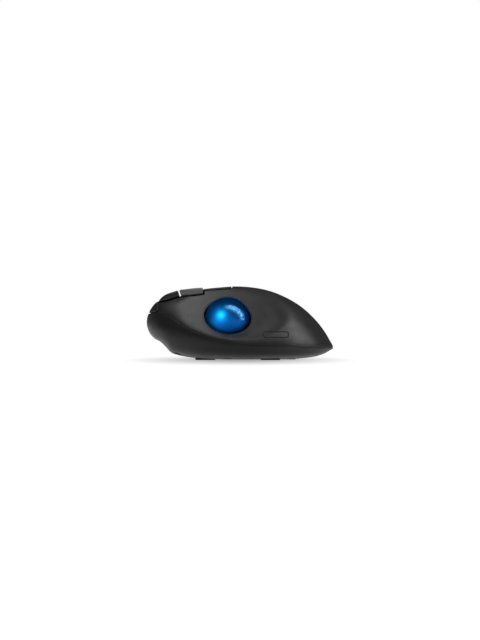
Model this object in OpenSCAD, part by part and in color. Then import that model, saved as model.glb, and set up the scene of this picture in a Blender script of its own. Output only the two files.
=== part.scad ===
// Thumb trackball mouse, right handed, wireless.
// Millimetres. +Y is the front, where the buttons are, +X the right side, +Z up.
// The origin is on the table, under the middle of the mouse.

/* [Body] */
// Length of the body from tail to nose
body_len = 136; // [130:1:142]
// Wall thickness of the moulded shells
wall = 2.2; // [1.8:0.1:2.4]
// Gap round each moving panel
panel_gap = 0.5; // [0.3:0.05:0.7]

/* [Ball] */
// Diameter of the ball
ball_d = 34; // [33:0.5:34]
// Ball centre, to the left of the middle
ball_x = -27; // [-28:0.5:-26]
// Ball centre, ahead of the middle
ball_y = 9.2; // [8:0.2:10]
// Ball centre, above the table
ball_z = 29.6; // [29:0.2:30]
// Upward tilt of the ball opening
ball_tilt = 45; // [43:1:47]
// Turn of the ball opening towards the tail
ball_yaw = 8; // [5:1:10]
// Height of the rim plane above the ball centre
rim_h = 2.6; // [2.4:0.1:2.8]

/* [Scroll wheel] */
// Diameter over the tyre
wheel_d = 23; // [22:0.5:24]
// Width of the wheel
wheel_w = 7; // [6:0.5:7.5]
// Roll of the wheel, which follows the slope of the buttons
wheel_roll = 18; // [16:1:20]

/* [Buttons] */
// Hinge line of the main buttons, ahead of the middle
hinge_y = 9; // [8:0.5:10]
// Rear seam of the main buttons
seam_y = 6; // [5:0.5:7]
// Width of the side buttons
pod_w = 8.5; // [8:0.5:9]

/* [Hidden] */

half_len = body_len / 2;
ball_r = ball_d / 2;
ball_at = [ball_x, ball_y, ball_z];
ball_axis = [-cos(ball_tilt) * cos(ball_yaw), -cos(ball_tilt) * sin(ball_yaw), sin(ball_tilt)];

// ---- Lines of the body, as [place along Y, value] ----
left_x = [[-68, -2], [-64, -17], [-54, -31], [-36, -41.5], [-12, -46], [8, -46.5],
    [30, -43.5], [46, -37.5], [58, -29], [65, -17], [68, -2]];
right_x = [[-68, 2], [-64, 18], [-54, 32], [-36, 42], [-12, 46], [8, 46.5],
    [30, 44.5], [46, 40.5], [58, 32], [65, 19], [68, 2]];
left_z = [[-68, 8.6], [-40, 9.6], [-10, 10.8], [10, 12.5], [30, 15], [46, 19], [58, 23.5], [68, 27.6]];
right_z = [[-68, 8.6], [-40, 9.4], [0, 11], [30, 14], [46, 18], [58, 23], [68, 27.6]];
crest_x = [[-68, 0], [-40, -2], [-10, -3], [10, -5], [30, -10], [46, -12], [60, -10], [68, 0]];
crest_z = [[-68, 8.6], [-66, 13.4], [-62, 20.2], [-55, 29.2], [-44, 39.2], [-33, 45.7], [-22, 50.1],
    [-11, 52.5], [2, 53.5], [14, 52.8], [26, 51.5], [35, 49.2], [44, 46.3], [52, 44.4], [58, 42.9],
    [61, 41.8], [64.5, 37.8], [66.8, 33.3], [68, 27.6]];
floor_z = [[-68, 8.3], [-66, 7.1], [-60, 3.9], [-52, 1.9], [-36, 0.6], [0, 0.25], [25, 0.6], [36, 1.7],
    [45, 3.4], [50, 5.2], [54, 9.3], [58, 13.1], [62, 15.3], [65, 18.3], [67, 22], [68, 27.2]];
left_bend = [[-68, 1.2], [-40, 1.3], [-15, 1.6], [9, 1.65], [30, 1.55], [50, 1.35], [68, 1.1]];
right_bend = 1.15;
floor_bend = 0.55;
// Parting line of the two shells on each side
part_left = [[-70, 8.9], [-50, 9], [-30, 10.4], [-6, 11], [10, 13.3], [23, 17.4], [35, 23],
    [45, 28.6], [52, 33.4], [56, 35.4], [60, 35.8], [66, 34.1], [70, 33.5]];
part_right = [[-70, 8.9], [-30, 9.5], [0, 10.5], [20, 14], [40, 22], [52, 29], [60, 33], [70, 33.5]];

// ---- Smooth curve through knots ----
function knot_before(k, u, i = 0) = i >= len(k) - 2 || u < k[i + 1][0] ? i : knot_before(k, u, i + 1);
function knot_slope(k, i) =
    let (a = max(i - 1, 0), b = min(i + 1, len(k) - 1)) (k[b][1] - k[a][1]) / (k[b][0] - k[a][0]);
function curve(k, u) =
    let (i = knot_before(k, u), h = k[i + 1][0] - k[i][0], t = (u - k[i][0]) / h)
    (2 * t ^ 3 - 3 * t ^ 2 + 1) * k[i][1] + (t ^ 3 - 2 * t ^ 2 + t) * h * knot_slope(k, i)
    + (3 * t ^ 2 - 2 * t ^ 3) * k[i + 1][1] + (t ^ 3 - t ^ 2) * h * knot_slope(k, i + 1);
// The same knots placed by an angle, -90 at the tail and 90 at the nose, which rounds the two ends
knot_end = 68;
function by_angle(k) = [for (p = k) [asin(p[0] / knot_end), p[1]]];
LX = by_angle(left_x);
RX = by_angle(right_x);
LZ = by_angle(left_z);
RZ = by_angle(right_z);
CX = by_angle(crest_x);
CZ = by_angle(crest_z);
FZ = by_angle(floor_z);
LB = by_angle(left_bend);

function smooth(lo, hi, v) = let (t = min(max((v - lo) / (hi - lo), 0), 1)) t * t * (3 - 2 * t);

// Flattens the side of the body round the ball opening, fading out over an oval
flat_r = 19;
dish_along = 48;
dish_up = 32;
dish_down = 27;
rim_along = [-sin(ball_yaw), cos(ball_yaw), 0];
rim_up = cross(rim_along, ball_axis);
function dished(p, w) =
    let (d = p - ball_at, h = d * ball_axis, ahead = d * rim_along, up = d * rim_up,
        r = max(norm([ahead, up]), 0.01),
        reach = r / norm([ahead / dish_along, up / (up > 0 ? dish_up : dish_down)]),
        share = (1 - smooth(flat_r, reach, r)) * smooth(-6, 2, h))
    p + share * (rim_h - w - h) * ball_axis;

function quarter(side, top, bend, t) =
    [top[0] + (side[0] - top[0]) * cos(t) ^ bend, side[1] + (top[1] - side[1]) * sin(t) ^ bend];

quarter_n = 9;
// One closed section of the body at station angle a, w inside the outer face
function section(a, w) =
    let (y = (half_len - w) * sin(a),
        left = [curve(LX, a) + w, curve(LZ, a)],
        right = [curve(RX, a) - w, curve(RZ, a)],
        top = [curve(CX, a), curve(CZ, a) - w],
        low = [(left[0] + right[0]) / 2, curve(FZ, a) + w],
        step = 90 / quarter_n,
        ring = [
            for (i = [0:quarter_n - 1]) quarter(left, top, curve(LB, a), i * step),
            for (i = [0:quarter_n - 1]) quarter(right, top, right_bend, 90 - i * step),
            for (i = [0:quarter_n - 1]) quarter(right, low, floor_bend, i * step),
            for (i = [0:quarter_n - 1]) quarter(left, low, floor_bend, 90 - i * step)
        ])
    [for (q = ring) dished([q[0], y, q[1]], w)];

// Closes a stack of equal rings into a solid
module skin(rings) {
    n = len(rings[0]);
    m = len(rings);
    polyhedron(
        points = [for (r = rings) each r],
        faces = concat(
            [[for (i = [0:n - 1]) i]],
            [[for (i = [0:n - 1]) (m - 1) * n + n - 1 - i]],
            [for (j = [0:m - 2], i = [0:n - 1])
                let (k = (i + 1) % n) each [[j * n + i, (j + 1) * n + i, (j + 1) * n + k],
                    [j * n + i, (j + 1) * n + k, j * n + k]]]));
}

// The whole body as one solid, w inside the outer face
module body(w = 0) {
    last = w == 0 ? 87 : 74;
    stations = 34;
    skin([for (i = [0:stations]) section(-last + 2 * last * i / stations, w)]);
}

// Everything above the parting line, raised by lift
module above(lift = 0) {
    ys = [-72, -50, -30, -18, -6, 2, 10, 16, 23, 29, 35, 40, 45, 49, 52, 56, 60, 63, 66, 72];
    function edge(k, y) = curve(k, min(max(y, -70), 70)) + lift;
    skin([for (y = ys)
        [[-60, y, edge(part_left, y)], [-60, y, 90], [60, y, 90], [60, y, edge(part_right, y)]]]);
}

// ---- Places that follow from the body ----
clear = 100;
function angle_at(y) = asin(y / half_len);
// X of the left flank at height z
function flank_x(y, z) =
    let (a = angle_at(y), bend = curve(LB, a), low = curve(LZ, a),
        rise = min(max((z - low) / (curve(CZ, a) - low), 0), 1) ^ (1 / bend))
    curve(CX, a) + (curve(LX, a) - curve(CX, a)) * sqrt(1 - rise ^ 2) ^ bend;
// Height of the slope right of the crest
function slope_z(x, y) =
    let (a = angle_at(y), run = ((x - curve(CX, a)) / (curve(RX, a) - curve(CX, a))) ^ (1 / right_bend))
    curve(RZ, a) + (curve(CZ, a) - curve(RZ, a)) * sqrt(1 - run ^ 2) ^ right_bend;

// Lower edge of the button panel where the flank meets it, and of the side buttons
strip_low = [[5, 51.7], [16, 51], [28, 50]];
pod_low = [[25, 47.6], [34, 46.5], [42, 45.8], [46, 44.9], [52, 42.9], [60, 41.6]];
pod_high = [[25, 52.6], [32.5, 52.2], [38.4, 51.5], [43, 50.9], [47, 49.8], [51.5, 48.4], [56, 46.2],
    [60, 42]];
pod_start = 26;
pod_end = 59.5;
// X from which the width of the side buttons counts
pod_from_x = -17;
pod_right_line = [[25, 0.2], [36, 0.8], [46, 0.4], [55, -1.2], [60, -3.4]];
function pod_left(y) = flank_x(y, curve(pod_low, y));
function pod_right(y) = pod_from_x + pod_w + curve(pod_right_line, y);

// Right edge of the button panel, as a share of the way to the right flank
panel_share = 0.86;
strip_x = 16;
strip_w = 10;
wheel_at_y = 34;
wheel_r = wheel_d / 2;
wheel_proud = 3.5;
roll_axis = [sin(wheel_roll), 0, cos(wheel_roll)];
wheel_at = [strip_x, wheel_at_y, slope_z(strip_x, wheel_at_y)] + (wheel_proud - wheel_r) * roll_axis;
dpi_y = 14.6;
dpi_at = [strip_x, dpi_y, slope_z(strip_x, dpi_y)];
pipe_y = 8.4;

module at_ball() translate(ball_at) rotate([0, 0, ball_yaw]) rotate([0, ball_tilt - 90, 0]) children();
module at_wheel() translate(wheel_at) rotate([0, wheel_roll, 0]) children();
module at_dpi() translate(dpi_at) rotate([0, wheel_roll, 0]) children();
// A box given by its two corners
module box(a, b) translate(a) cube(b - a);

// ---- Plan outlines of the panels ----
function steps(a, b, n) = [for (i = [0:n]) a + (b - a) * i / n];
module panel_plan() {
    polygon(concat(
        [for (y = steps(seam_y, pod_start, 5)) [flank_x(y, curve(strip_low, y)), y]],
        [for (y = steps(pod_start, pod_end, 8)) [pod_right(y), y]],
        [[-clear, pod_end], [-clear, clear], [clear, clear], [clear, pod_end]],
        [for (y = steps(pod_end, seam_y, 8)) [panel_share * curve(RX, angle_at(y)), y]]));
}
module pod_plan() {
    polygon(concat(
        [for (y = steps(pod_start, pod_end, 8)) [pod_left(y), y]],
        [for (y = steps(pod_end, pod_start, 8)) [pod_right(y) + 0.01, y]]));
}
module strip_plan() translate([strip_x - strip_w / 2, seam_y]) square([strip_w, clear]);
// Grown or shrunk plan as a tall block
module block(grow) linear_extrude(clear) offset(delta = grow) children();

module shell_layer(thick) {
    difference() {
        body();
        body(thick);
    }
}

// ---- Places of the small parts ----
board_z = 8;
board_t = 1.6;
upper_z = 22;
post_places = [[3, 25], [31, 25], [3, 37.5], [31, 37.5]];
post_r = 2.6;
frame_screw_r = 1.1;
// [x, y, height of the head's seat]
case_screw_places = [[-24, -36, 4], [-4, -54, 5], [37, 2, 5], [-24, 45, 7.4]];
boss_r = 3.6;
boss_split = 7;
receiver_from = [23.8, -25, 2.2];
receiver_to = [36.8, -6, 7.4];
battery_x = 14;
battery_r = 7.1;
battery_z = 10.5;
battery_from = -42;
battery_to = 8.5;
bay_w = 15;
door_play = 0.25;
door_z = 0.6;
eject_r = 3.5;
power_at = [-12, -24, 0];
pair_at = [-12, -40, 0];
feet_places = [[-20, 25], [20, 26], [-26, -22], [25, -34]];
foot_l = 14;
foot_w = 6;
foot_top = 2;
left_rod_z = 47;
right_rod_z = 31;
rod_r = 1.5;

module case_screw_bores() {
    for (p = case_screw_places) translate([p[0], p[1], 0]) {
        translate([0, 0, -1]) cylinder(h = p[2] + 1, r = 2.9, $fn = 32);
        translate([0, 0, p[2] - 0.5]) cylinder(h = 12.5, r = 1.3, $fn = 32);
    }
}
module foot_shape(grow, h) {
    for (p = feet_places)
        translate([p[0], p[1], 0]) round_slot(foot_w / 2 + grow, (foot_l - foot_w) / 2, 0, h);
}

// Box along the battery bay, of width w, between two places along Y and two heights
module along_bay(w, y0, y1, z0, z1) box([battery_x - w / 2, y0, z0], [battery_x + w / 2, y1, z1]);

// Bosses, posts and pocket walls that stand on the floor of the base
module base_insides() {
    rim = 1.3;
    for (p = case_screw_places)
        translate([p[0], p[1], 0]) cylinder(h = p[2] + boss_split - 0.5, r = boss_r, $fn = 24);
    for (p = post_places)
        translate([p[0], p[1], 0]) cylinder(h = board_z, r = post_r, $fn = 24);
    translate([ball_x, ball_y, 0]) cylinder(h = 9.6, r = eject_r + 1.4, $fn = 24);
    along_bay(bay_w + 2 * rim, battery_from - 6, battery_to + 2.6, 0, 13);
    box(receiver_from - [rim, rim, 5], receiver_to + [rim, rim, rim]);
}
module base_shell() {
    color([0.12, 0.12, 0.13]) difference() {
        resize([0, 0, 0]) difference() {
            union() {
                difference() {
                    body();
                    body(wall);
                    above();
                }
                intersection() {
                    body(0.8);
                    base_insides();
                }
            }
            // Battery bay, groove of the door rails and door opening
            along_bay(bay_w, battery_from - 1.4, battery_to + 1.4, 2.9, 20);
            along_bay(bay_w, battery_from - 5, battery_to + 1.4, 2, 2.95);
            along_bay(bay_w - 2, battery_from - 5, battery_to + 1.4, -1, 2.1);
            box(receiver_from - [0.2, 0.2, 5], receiver_to + [0.2, 0.2, 0.1]);
            // Slot of the power switch
            translate(power_at) box([-1.8, -4.6, -1], [1.8, 4.6, 5]);
            translate([0, 0, -1]) foot_shape(0.1, foot_top + 1);
        }
        case_screw_bores();
        for (p = post_places) translate([p[0], p[1], 4]) cylinder(h = 10, r = frame_screw_r, $fn = 32);
        translate([ball_x, ball_y, -1]) cylinder(h = 14, r = eject_r, $fn = 48);
        translate(pair_at - [0, 0, 1]) cylinder(h = 6, r = 2.4, $fn = 32);
    }
}

// Round bar on the hinge line, starting at x
module rod(x, z, length, r)
    translate([x, hinge_y, z]) rotate([0, 90, 0]) cylinder(h = length, r = r, $fn = 32);
// Arm under the rear seam that holds a hinge rod
module rod_arm(x, z) {
    box([x, -3, z - 2.4], [x + 2.4, hinge_y + 2.4, z + 2.4]);
    intersection() {
        body(1);
        box([x, -3, z - 2.4], [x + 2.4, seam_y - 1.5, 60]);
    }
}
badge_y = -25.8;
badge_z = 18.8;
badge_at = [flank_x(badge_y, badge_z), badge_y, badge_z];
badge_lean = atan((flank_x(badge_y, badge_z + 2) - flank_x(badge_y, badge_z - 2)) / 4);
badge_turn = -atan((flank_x(badge_y + 8, badge_z) - flank_x(badge_y - 8, badge_z)) / 16);
module at_badge() translate(badge_at) rotate([0, 0, badge_turn]) rotate([0, badge_lean - 90, 0]) children();

module top_shell() {
    color([0.2, 0.2, 0.21]) difference() {
        resize([0, 0, 0]) union() {
            intersection() {
                difference() {
                    shell_layer(wall);
                    block(panel_gap / 2) union() {
                        panel_plan();
                        pod_plan();
                    }
                    at_ball() cylinder(h = 30, r = ball_r + 1.05, $fn = 64);
                    at_badge() translate([0, 0, 0.5]) cube([4.8, 18.4, 3], center = true);
                }
                above();
            }
            intersection() {
                body(1);
                for (p = case_screw_places)
                    translate([p[0], p[1], p[2] + boss_split - 0.4]) cylinder(h = 60, r = boss_r, $fn = 24);
            }
            rod_arm(0, left_rod_z);
            rod_arm(27, right_rod_z);
        }
        case_screw_bores();
        rod(-6, left_rod_z, 14, rod_r);
        rod(22, right_rod_z, 14, rod_r);
    }
}

// Lug on a button that turns on its hinge rod
module rod_lug(x, z) intersection() {
    body(1);
    box([x, hinge_y - 2.3, z - 2.3], [x + 2.2, hinge_y + 2.3, 60]);
}
// Post under a button, ending just over the plunger of its switch
click_places = [[2.8, 47], [25, 44]];
switch_h = 6.5;
plunger_h = 0.7;
click_play = 0.45;
module click_post(p) intersection() {
    body(1);
    translate([p[0], p[1], upper_z + board_t + switch_h + plunger_h + click_play])
        cylinder(h = 30, r = 1.6, $fn = 16);
}
// Height of the buttons' lower edge over the parting line
nose_lift = 0.7;
module panel_piece() intersection() {
    shell_layer(2);
    above(nose_lift);
    block(-panel_gap / 2) difference() {
        panel_plan();
        pod_plan();
        children();
    }
}
module left_button() {
    color([0.16, 0.16, 0.17]) difference() {
        resize([0, 0, 0]) union() {
            panel_piece() translate([strip_x - strip_w / 2, -clear]) square(2 * clear);
            rod_lug(-4, left_rod_z);
            rod_lug(5, left_rod_z);
            click_post(click_places[0]);
        }
        rod(-7, left_rod_z, 16, rod_r + 0.05);
    }
}
module right_button() {
    color([0.16, 0.16, 0.17]) difference() {
        resize([0, 0, 0]) union() {
            panel_piece() translate([strip_x + strip_w / 2 - 2 * clear, -clear]) square(2 * clear);
            rod_lug(23.2, right_rod_z);
            rod_lug(31, right_rod_z);
            click_post(click_places[1]);
        }
        rod(20, right_rod_z, 16, rod_r + 0.05);
    }
}
module left_hinge_rod() color("silver") rod(-5, left_rod_z, 13, rod_r);
module right_hinge_rod() color("silver") rod(22.6, right_rod_z, 11.2, rod_r);

slot_w = 9;
slot_l = 25;
module center_strip() {
    color([0.05, 0.05, 0.06]) difference() {
        resize([0, 0, 0]) difference() {
            intersection() {
                shell_layer(2);
                above(nose_lift);
                block(-panel_gap / 2) intersection() {
                    panel_plan();
                    strip_plan();
                }
            }
            at_wheel() round_slot(slot_w / 2, (slot_l - slot_w) / 2, -10, 30);
            at_dpi() dpi_shape(2.65, -6, 8);
        }
        translate([strip_x, pipe_y, 20]) cylinder(h = 40, r = 1, $fn = 32);
    }
}
// Bar along Y with round ends of radius r, centred half_l either way, between two heights
module round_slot(r, half_l, lo, hi) {
    for (s = [-1, 1]) translate([0, s * half_l, lo]) cylinder(h = hi - lo, r = r, $fn = 32);
    box([-r, -half_l, lo], [r, half_l, hi]);
}
module dpi_shape(r, lo, hi) round_slot(r, 2, lo, hi);
module dpi_button() {
    color([0.25, 0.25, 0.26]) at_dpi() {
        dpi_shape(2.3, -3.2, 0.7);
        dpi_shape(2.9, -4.2, -3.2);
        translate([0, 0, -18]) cylinder(h = 15, r = 1.2, $fn = 24);
    }
}
module dpi_switch() {
    color("dimgray") difference() {
        at_dpi() union() {
            box([-3, -3, -40], [3, 3, -20.4]);
            translate([0, 0, -20.5]) cylinder(h = 1.5, r = 1.5, $fn = 24);
        }
        box([-clear, -clear, -clear], [clear, clear, upper_z + board_t]);
    }
}
module light_pipe() color("white")
    translate([strip_x, pipe_y, slope_z(strip_x, pipe_y) - 3.4]) cylinder(h = 3.3, r = 0.95, $fn = 24);

// ---- Side buttons ----
// Gap between the two, which leans forwards by pod_lean for each millimetre of height
pod_gap = 0.9;
pod_split = 43.95;
pod_lean = 0.33;
lean_reach = 12;
module side_button(y0, y1) {
    n = 9;
    round_pts = 16;
    skin([for (i = [0:n])
        let (y = y0 + (y1 - y0) * i / n,
            end = min(i, n - i) == 0 ? 0.86 : 1,
            x0 = pod_left(y) + panel_gap / 2 + 0.1,
            x1 = max(pod_right(y) - panel_gap / 2 - 0.1, x0 + 0.6),
            z0 = curve(pod_low, y) + 0.5,
            z1 = curve(pod_high, y),
            hw = end * (x1 - x0) / 2,
            hh = end * (z1 - z0) / 2,
            lean = pod_lean * max(0, 1 - abs(y - pod_split) / lean_reach))
        [for (j = [round_pts - 1:-1:0])
            let (t = 360 * (j + 0.5) / round_pts, c = cos(t), s = sin(t), up = hh * sign(s) * abs(s) ^ 0.6)
            [(x0 + x1) / 2 + hw * sign(c) * abs(c) ^ 0.55, y + lean * up, (z0 + z1) / 2 + up]]]);
}
module forward_button() color([0.12, 0.12, 0.13]) side_button(pod_split + pod_gap / 2, pod_end - 0.3);
module back_button() color([0.3, 0.3, 0.31]) side_button(pod_start + 0.9, pod_split - pod_gap / 2);
side_switch_y = [35, 51];
function pod_mid(y) = [(pod_left(y) + pod_right(y)) / 2, y, curve(pod_low, y)];
module side_button_bracket() {
    color([0.1, 0.1, 0.1]) difference() {
        resize([0, 0, 0]) skin([for (y = steps(pod_start + 0.1, pod_end - 3, 8))
            let (x0 = pod_left(y) - 0.1, x1 = pod_right(y) - 0.2, z = curve(pod_low, y))
            [[x0, y, z - 3.2], [x0, y, z - 1.2], [x1, y, z - 1.2], [x1, y, z - 3.2]]]);
        for (y = side_switch_y) translate(pod_mid(y) + [0, 0, -8]) cylinder(h = 12, r = 1.1, $fn = 24);
    }
}
module side_switches() {
    color("dimgray") for (y = side_switch_y) translate(pod_mid(y)) {
        translate([-2.5, -2.5, -6.9]) cube([5, 5, 3]);
        translate([0, 0, -4]) cylinder(h = 3.4, r = 0.9, $fn = 24);
    }
}

// ---- Scroll wheel ----
axle_r = 1.2;
hub_r = wheel_r - 2;
groove_n = 24;
module along_x(x) translate([x, 0, 0]) rotate([0, 90, 0]) children();
module wheel_hub() {
    color([0.3, 0.3, 0.32]) at_wheel() difference() {
        along_x(-wheel_w / 2) cylinder(h = wheel_w, r = hub_r, $fn = 64);
        along_x(-wheel_w) cylinder(h = 2 * wheel_w, r = axle_r + 0.05, $fn = 32);
        for (s = [-1, 1]) along_x(s * wheel_w / 2 - 1) difference() {
            cylinder(h = 2, r = hub_r - 1.6, $fn = 64);
            translate([0, 0, -1]) cylinder(h = 4, r = 2.6, $fn = 32);
        }
    }
}
module wheel_tyre() {
    color([0.08, 0.08, 0.08]) at_wheel() difference() {
        along_x(-wheel_w / 2 + 0.4) cylinder(h = wheel_w - 0.8, r = wheel_r, $fn = 64);
        along_x(-wheel_w) cylinder(h = 2 * wheel_w, r = hub_r, $fn = 64);
        for (i = [0:groove_n - 1]) rotate([i * 360 / groove_n, 0, 0]) translate([0, 0, wheel_r + 0.2])
            along_x(-wheel_w) cylinder(h = 2 * wheel_w, r = 0.7, $fn = 16);
    }
}
module wheel_axle() color("silver") at_wheel() along_x(-6.6) cylinder(h = 14.2, r = axle_r, $fn = 32);
pivot = [0, -16, -4];
module wheel_carrier() {
    color([0.85, 0.85, 0.8]) at_wheel() difference() {
        union() {
            for (x = [-5.9, 4.3]) {
                translate([x, 0, 0]) rotate([0, 90, 0]) cylinder(h = 1.6, r = 3, $fn = 32);
                box([x, -16, -6], [x + 1.6, 16, -1]);
                translate([x, -16, -4]) rotate([0, 90, 0]) cylinder(h = 1.6, r = 2.6, $fn = 32);
            }
            box([-5.9, 13, -4], [5.9, 16, -1]);
            box([-5.9, -14.6, -5.4], [5.9, -13, -2]);
        }
        along_x(-8) cylinder(h = 16, r = axle_r, $fn = 32);
        translate(pivot) along_x(-8) cylinder(h = 16, r = axle_r + 0.05, $fn = 32);
    }
}
module carrier_pin() color("silver")
    at_wheel() translate(pivot) along_x(-8.2) cylinder(h = 16.4, r = axle_r, $fn = 32);
module over_board() intersection() {
    children();
    box([-clear, -clear, upper_z + board_t], [clear, clear, clear]);
}
module carrier_bracket() {
    color([0.8, 0.8, 0.75]) difference() {
        over_board() at_wheel() for (x = [-8.2, 6.4]) box([x, -18.4, -30], [x + 1.8, -13.6, -1.4]);
        at_wheel() translate(pivot) along_x(-9) cylinder(h = 18, r = axle_r, $fn = 32);
    }
}
module wheel_encoder() {
    color("darkgreen") difference() {
        over_board() at_wheel() box([6.2, -4.5, -30], [9.4, 4.5, 2.6]);
        at_wheel() {
            along_x(5) cylinder(h = 3.4, r = 1.6, $fn = 32);
            box([5, -1.6, -2.2], [8.4, 1.6, 0]);
            translate([0, 0, -2.2]) along_x(5) cylinder(h = 3.4, r = 1.6, $fn = 32);
        }
    }
}
module wheel_switch() {
    color("dimgray") over_board() at_wheel() {
        box([-3.2, 12, -30], [3.2, 18, -6.3]);
        translate([0, 14.6, -7]) cylinder(h = 1.8, r = 0.9, $fn = 24);
    }
}
module click_switches() {
    color("dimgray") for (p = click_places) translate([p[0], p[1], upper_z + board_t]) {
        box([-2.7, -6.4, 0], [2.7, 6.4, switch_h]);
        cylinder(h = switch_h + plunger_h, r = 1, $fn = 24);
    }
}

// ---- Ball and its socket ----
coat_t = 1;
module ball_coat() color([0.2, 0.5, 0.9, 0.5]) translate(ball_at) difference() {
    sphere(r = ball_r, $fn = 96);
    sphere(r = ball_r - coat_t, $fn = 96);
}
module ball_core() color([0.1, 0.3, 0.8]) translate(ball_at) sphere(r = ball_r - coat_t - 0.05, $fn = 96);
bearing_r = 1.25;
bearing_turns = [0, 120, 240];
bearing_polar = 130;
cup_in = ball_r + 0.4;
cup_out = ball_r + 2.2;
module at_bearings() for (a = bearing_turns) rotate([0, 0, a]) rotate([0, bearing_polar, 0]) children();
module ball_socket() {
    color([0.07, 0.07, 0.08]) difference() {
        at_ball() difference() {
            union() {
                sphere(r = cup_out, $fn = 64);
                translate([0, 0, -1.4]) cylinder(h = 1.6, r = ball_r + 4, $fn = 64);
                cylinder(h = rim_h - 0.3, r = ball_r + 0.95, $fn = 64);
                at_bearings() cylinder(h = cup_out + 1.6, r = 2.4, $fn = 32);
                translate([0, 0, -ball_r - 8.6]) cylinder(h = 9, r = 8, $fn = 48);
            }
            sphere(r = cup_in, $fn = 64);
            translate([0, 0, 0.2]) difference() {
                cylinder(h = 40, r = ball_r + 6, $fn = 64);
                cylinder(h = rim_h - 0.5, r = ball_r + 0.95, $fn = 64);
            }
            cylinder(h = 1.9, r = cup_in, $fn = 64);
            cylinder(h = 9, r = ball_r - 0.04, $fn = 64);
            at_bearings() cylinder(h = ball_r + 2 * bearing_r + 0.05, r = bearing_r + 0.02, $fn = 32);
            translate([0, 0, -ball_r - 12]) cylinder(h = 10, r = 6.9, $fn = 48);
            translate([0, 0, -ball_r - 12]) cylinder(h = 16, r = 4, $fn = 48);
        }
        translate([ball_x, ball_y, 0]) cylinder(h = 20, r = eject_r, $fn = 48);
    }
}
module socket_bearings() color("ivory")
    at_ball() at_bearings() translate([0, 0, ball_r + bearing_r + 0.02]) sphere(r = bearing_r, $fn = 32);
module sensor_lens() color([0.9, 0.9, 1, 0.6]) at_ball() {
    translate([-4.5, -4.5, -ball_r - 5]) cube([9, 9, 2.8]);
    translate([0, 0, -ball_r - 2.4]) cylinder(h = 1.6, r = 3.2, $fn = 32);
}
module sensor_chip() color([0.1, 0.1, 0.1])
    at_ball() translate([-4.6, -4.6, -ball_r - 7.6]) cube([9.2, 9.2, 2.5]);
module sensor_board() color("darkgreen")
    at_ball() translate([-8, -8, -ball_r - 9.9]) cube([16, 16, 1.2]);

// ---- Boards ----
module post_bores()
    for (p = post_places) translate([p[0], p[1], 0]) cylinder(h = 40, r = frame_screw_r, $fn = 32);
module main_board() {
    color("darkgreen") difference() {
        box([0, 14, board_z], [35, 43, board_z + board_t]);
        post_bores();
    }
}
module control_chip() color([0.1, 0.1, 0.1]) translate([12, 24, board_z + board_t]) cube([8, 8, 1.2]);
module button_board() {
    color("darkgreen") difference() {
        box([0, 15, upper_z], [34, 51, upper_z + board_t]);
        box([6, 23, upper_z - 1], [20, 45, upper_z + 3]);
        post_bores();
    }
}
module board_frame() {
    color([0.7, 0.7, 0.68]) difference() {
        union() {
            for (p = post_places)
                translate([p[0], p[1], board_z + board_t])
                    cylinder(h = upper_z - board_z - board_t, r = post_r, $fn = 32);
            box([0, 15, upper_z - 2], [34, 43, upper_z]);
        }
        box([6, 22.9, upper_z - 5], [28, 37, upper_z + 3]);
        box([6, 30, upper_z - 5], [20, 50, upper_z + 3]);
        post_bores();
    }
}
module ribbon_cable() {
    x0 = 21;
    x1 = 29;
    film = 0.3;
    low = board_z + board_t;
    high = upper_z + board_t;
    color("orange") {
        box([x0, 12.7, low], [x1, 13, high + film]);
        box([x0, 12.7, low], [x1, 15.5, low + film]);
        box([x0, 12.7, high], [x1, 16.5, high + film]);
    }
}
module frame_screws() {
    color("silver") for (p = post_places) translate([p[0], p[1], 0]) {
        translate([0, 0, 4.5]) cylinder(h = upper_z + board_t - 4.4, r = frame_screw_r, $fn = 32);
        translate([0, 0, upper_z + board_t]) difference() {
            cylinder(h = 1.4, r = 2.1, $fn = 32);
            translate([-0.3, -3, 0.8]) cube([0.6, 6, 2]);
        }
    }
}

// ---- Battery and underside ----
module battery_cell() {
    color([0.35, 0.35, 0.37]) translate([battery_x, battery_from + 3, battery_z]) rotate([-90, 0, 0]) {
        cylinder(h = 46, r = battery_r, $fn = 64);
        cylinder(h = 47.2, r = 2.7, $fn = 32);
    }
}
module battery_contact() color("silver") along_bay(10, battery_to + 1, battery_to + 1.4, 5, 12.8);
module battery_spring() {
    color("silver") translate([battery_x, battery_from - 1.3, battery_z]) rotate([-90, 0, 0]) {
        cylinder(h = 0.6, r = 5, $fn = 32);
        for (i = [0:3]) translate([0, 0, 0.6 + i])
            rotate_extrude($fn = 48) translate([4.4 - 0.7 * i, 0.3]) circle(r = 0.35, $fn = 16);
        translate([0, 0, 0.5]) cylinder(h = 3.7, r = 1.2, $fn = 24);
        for (i = [0:3]) translate([0, -0.3, 0.65 + i]) cube([4.4 - 0.7 * i, 0.6, 0.5]);
    }
}
module battery_door() {
    y0 = battery_from - 1.2;
    y1 = battery_to + 1.2;
    door_w = bay_w - 2 * door_play;
    color([0.14, 0.14, 0.15]) difference() {
        union() {
            along_bay(door_w - 2, y0, y1, door_z, 2.75);
            along_bay(door_w, y0, y1, 2.15, 2.75);
        }
        // Finger ribs
        for (i = [0:3]) along_bay(8, y0 + 4 + 2 * i, y0 + 5 + 2 * i, door_z - 0.1, door_z + 0.5);
    }
}
module usb_receiver() {
    color("silver") {
        box(receiver_from + [0.5, 0, 0.4], receiver_to - [0.5, 6.9, 0.4]);
        box([receiver_from[0], receiver_to[1] - 7, receiver_from[2]], receiver_to);
    }
}
module switch_board() color("darkgreen") box([-20, -46, 8.4], [-5, -16, 9.6]);
module power_switch() color("dimgray") translate(power_at) box([-3.2, -6.5, 5], [3.2, 6.5, 8.4]);
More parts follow.
